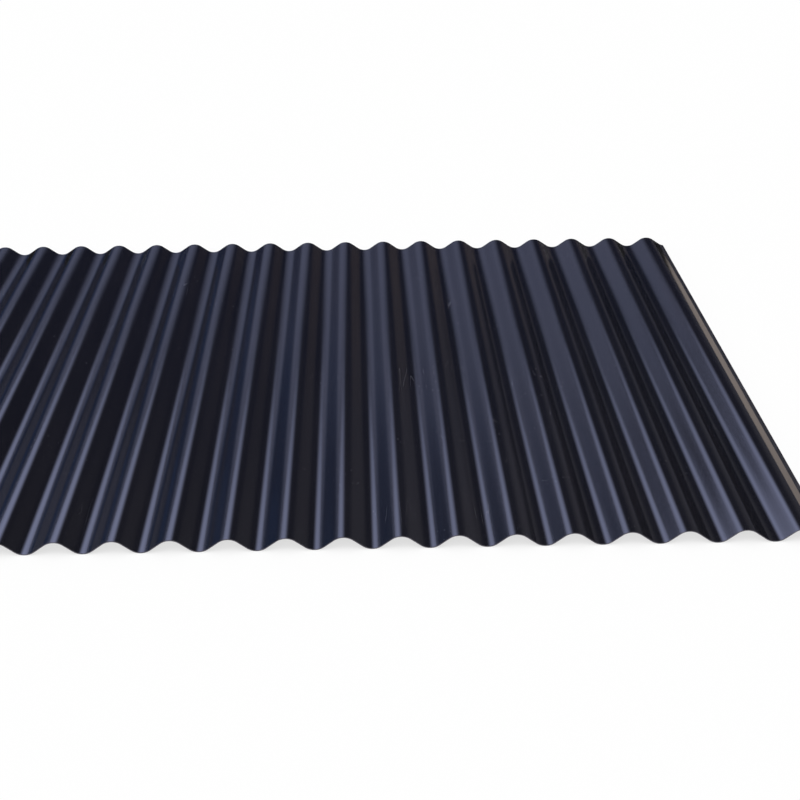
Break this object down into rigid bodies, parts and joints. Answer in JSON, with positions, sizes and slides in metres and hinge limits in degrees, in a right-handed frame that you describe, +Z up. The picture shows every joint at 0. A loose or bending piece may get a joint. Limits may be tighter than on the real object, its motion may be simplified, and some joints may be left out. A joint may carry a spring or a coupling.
{
  "type": "corrugated upvc roofing sheet",
  "caption": "Flat-lying corrugated rigid PVC roofing sheet with rounded waves running along its length and square-cut ends, for laying with side laps over purlins.",
  "frame": {"origin": "centre of the rectangle that the sheet covers, on the floor it lies on", "axes": "+X across the waves, towards the edge that ends down in a trough; +Y along the waves, from the near cut end to the far one; +Z up"},
  "size_m": [1.4, 1.5, 0.0179],
  "materials": {
    "pvc": "smooth high gloss, anthracite to black"
  },
  "bodies": {
    "root": {"corrugated_sheet": "pvc"}
  },
  "joints": []
}
